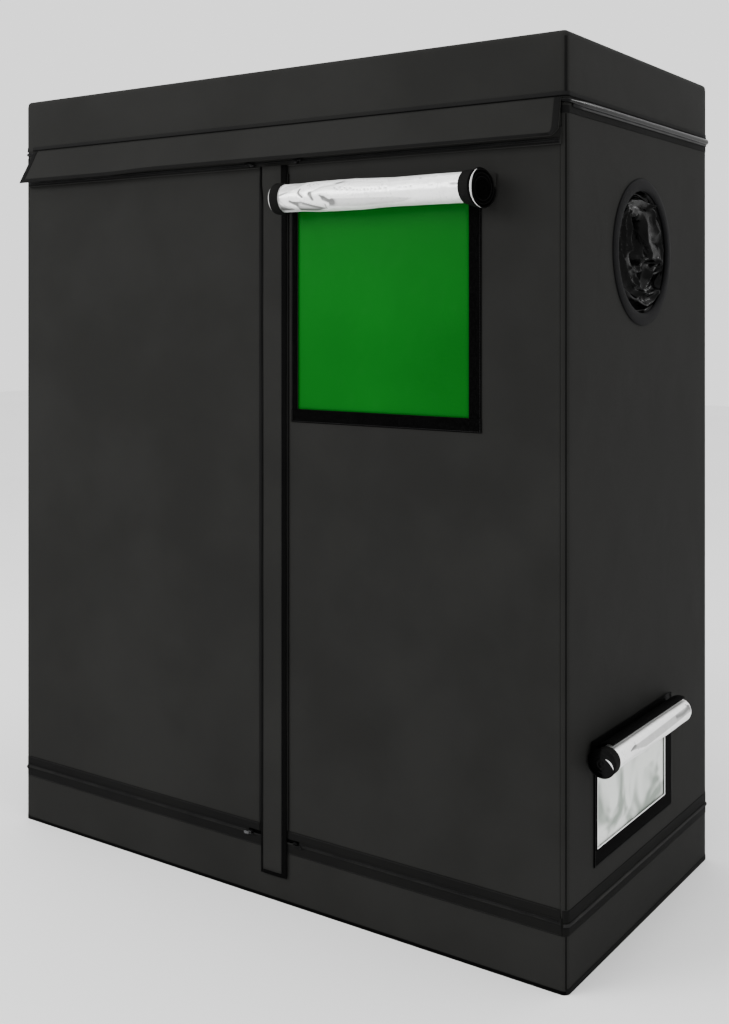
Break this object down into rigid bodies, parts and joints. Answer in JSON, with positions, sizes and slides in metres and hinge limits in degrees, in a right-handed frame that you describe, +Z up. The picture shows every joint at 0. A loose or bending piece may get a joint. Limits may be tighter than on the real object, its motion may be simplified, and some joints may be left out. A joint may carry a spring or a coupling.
{
  "type": "indoor grow tent",
  "caption": "Zipped cloth grow tent on a steel tube frame, with split front doors, storm flaps, a green viewing window, gathered duct ports and low side vents with roll-up covers.",
  "frame": {"origin": "middle of the underside of the floor, where the tent rests", "axes": "+X to the right as one faces the doors, +Y from the doors to the back, +Z up"},
  "size_m": [1.3058, 0.6724, 1.475],
  "materials": {
    "charcoal_cloth": "matte coated oxford cloth",
    "black_webbing": "black binding and hook tape",
    "silver_film": "crinkled silver lining film",
    "green_vinyl": "clear green vinyl",
    "pale_mesh": "fine pale mesh",
    "white_steel": "white powder coat",
    "black_coil": "black zip tape and nylon coil",
    "zip_metal": "plated zip slider"
  },
  "bodies": {
    "shell": {"roof_crown": "charcoal_cloth", "floor_tub": "charcoal_cloth", "front_header": "charcoal_cloth", "back_wall": "charcoal_cloth", "left_wall": "charcoal_cloth", "right_wall": "charcoal_cloth", "tub_zip": "black_coil", "header_zip": "black_coil", "floor_tray": "silver_film", "lower_front_left_connector": "white_steel", "lower_front_right_connector": "white_steel", "lower_back_left_connector": "white_steel", "lower_back_right_connector": "white_steel", "upper_front_left_connector": "white_steel", "upper_front_right_connector": "white_steel", "upper_back_left_connector": "white_steel", "upper_back_right_connector": "white_steel", "lower_front_rail": "white_steel", "lower_back_rail": "white_steel", "lower_left_rail": "white_steel", "lower_right_rail": "white_steel", "upper_front_rail": "white_steel", "upper_back_rail": "white_steel", "upper_left_rail": "white_steel", "upper_right_rail": "white_steel", "front_left_post": "white_steel", "front_right_post": "white_steel", "back_left_post": "white_steel", "back_right_post": "white_steel", "left_vent_mesh": "pale_mesh", "left_vent_border": "black_webbing", "right_vent_mesh": "pale_mesh", "right_vent_border": "black_webbing", "left_port_ring": "black_webbing", "left_port_sleeve": "black_webbing", "right_port_ring": "black_webbing", "right_port_sleeve": "black_webbing"},
    "left_hanging_bar": {"left_hanging_bar": "white_steel"},
    "right_hanging_bar": {"right_hanging_bar": "white_steel"},
    "left_door": {"left_door": "charcoal_cloth", "left_door_zip": "black_coil"},
    "right_door": {"right_door": "charcoal_cloth", "right_door_zip": "black_coil", "window_pane": "green_vinyl", "window_border": "black_webbing"},
    "window_roll": {"window_roll": "silver_film"},
    "centre_storm_flap": {"centre_storm_flap": "charcoal_cloth"},
    "top_storm_flap": {"top_storm_flap": "charcoal_cloth"},
    "left_vent_roll": {"left_vent_roll": "silver_film"},
    "right_vent_roll": {"right_vent_roll": "silver_film"},
    "lower_left_zip_slider": {"lower_left_zip_slider": "zip_metal"},
    "lower_left_pull_tab": {"lower_left_pull_tab": "zip_metal"},
    "lower_right_zip_slider": {"lower_right_zip_slider": "zip_metal"},
    "lower_right_pull_tab": {"lower_right_pull_tab": "zip_metal"},
    "upper_left_zip_slider": {"upper_left_zip_slider": "zip_metal"},
    "upper_left_pull_tab": {"upper_left_pull_tab": "zip_metal"},
    "upper_right_zip_slider": {"upper_right_zip_slider": "zip_metal"},
    "upper_right_pull_tab": {"upper_right_pull_tab": "zip_metal"},
    "centre_zip_slider": {"centre_zip_slider": "zip_metal"},
    "centre_pull_tab": {"centre_pull_tab": "zip_metal"}
  },
  "joints": [
    {"name": "left_door_swing", "type": "hinge", "parent": "shell", "child": "left_door", "pos_m": [-0.6, -0.305, 0.7], "axis": [0, 0, -1], "range_deg": [0, 110]},
    {"name": "right_door_swing", "type": "hinge", "parent": "shell", "child": "right_door", "pos_m": [0.6, -0.305, 0.7], "axis": [0, 0, 1], "range_deg": [0, 110]},
    {"name": "centre_flap_fold", "type": "hinge", "parent": "right_door", "child": "centre_storm_flap", "pos_m": [0.073, -0.3096, 0.67], "axis": [0, 0, 1], "range_deg": [0, 90]},
    {"name": "top_flap_lift", "type": "hinge", "parent": "shell", "child": "top_storm_flap", "pos_m": [0, -0.3069, 1.377], "axis": [-1, 0, 0], "range_deg": [0, 150]},
    {"name": "window_cover_drop", "type": "slide", "parent": "right_door", "child": "window_roll", "axis": [0, 0, -1], "range_m": [0, 0.36]},
    {"name": "left_vent_cover_drop", "type": "slide", "parent": "shell", "child": "left_vent_roll", "axis": [0, 0, -1], "range_m": [0, 0.125]},
    {"name": "right_vent_cover_drop", "type": "slide", "parent": "shell", "child": "right_vent_roll", "axis": [0, 0, -1], "range_m": [0, 0.125]},
    {"name": "left_bar_slide", "type": "slide", "parent": "shell", "child": "left_hanging_bar", "axis": [1, 0, 0], "range_m": [-0.3, 0.15]},
    {"name": "right_bar_slide", "type": "slide", "parent": "shell", "child": "right_hanging_bar", "axis": [1, 0, 0], "range_m": [-0.15, 0.3]},
    {"name": "lower_left_zip_slide", "type": "slide", "parent": "shell", "child": "lower_left_zip_slider", "axis": [-1, 0, 0], "range_m": [0, 0.572]},
    {"name": "lower_left_pull_flip", "type": "hinge", "parent": "lower_left_zip_slider", "child": "lower_left_pull_tab", "pos_m": [-0.008, -0.3099, 0.11], "axis": [0, 0, 1], "range_deg": [0, 170]},
    {"name": "lower_right_zip_slide", "type": "slide", "parent": "shell", "child": "lower_right_zip_slider", "axis": [1, 0, 0], "range_m": [0, 0.4885]},
    {"name": "lower_right_pull_flip", "type": "hinge", "parent": "lower_right_zip_slider", "child": "lower_right_pull_tab", "pos_m": [0.0915, -0.3099, 0.11], "axis": [0, 0, -1], "range_deg": [0, 170]},
    {"name": "upper_left_zip_slide", "type": "slide", "parent": "shell", "child": "upper_left_zip_slider", "axis": [-1, 0, 0], "range_m": [0, 0.572]},
    {"name": "upper_left_pull_flip", "type": "hinge", "parent": "upper_left_zip_slider", "child": "upper_left_pull_tab", "pos_m": [-0.008, -0.3099, 1.307], "axis": [0, 0, 1], "range_deg": [0, 170]},
    {"name": "upper_right_zip_slide", "type": "slide", "parent": "shell", "child": "upper_right_zip_slider", "axis": [1, 0, 0], "range_m": [0, 0.4885]},
    {"name": "upper_right_pull_flip", "type": "hinge", "parent": "upper_right_zip_slider", "child": "upper_right_pull_tab", "pos_m": [0.0915, -0.3099, 1.307], "axis": [0, 0, -1], "range_deg": [0, 170]},
    {"name": "centre_zip_slide", "type": "slide", "parent": "right_door", "child": "centre_zip_slider", "axis": [0, 0, -1], "range_m": [0, 1.15]},
    {"name": "centre_pull_flip", "type": "hinge", "parent": "centre_zip_slider", "child": "centre_pull_tab", "pos_m": [0.016, -0.3099, 1.29], "axis": [-1, 0, 0], "range_deg": [0, 170]}
  ]
}
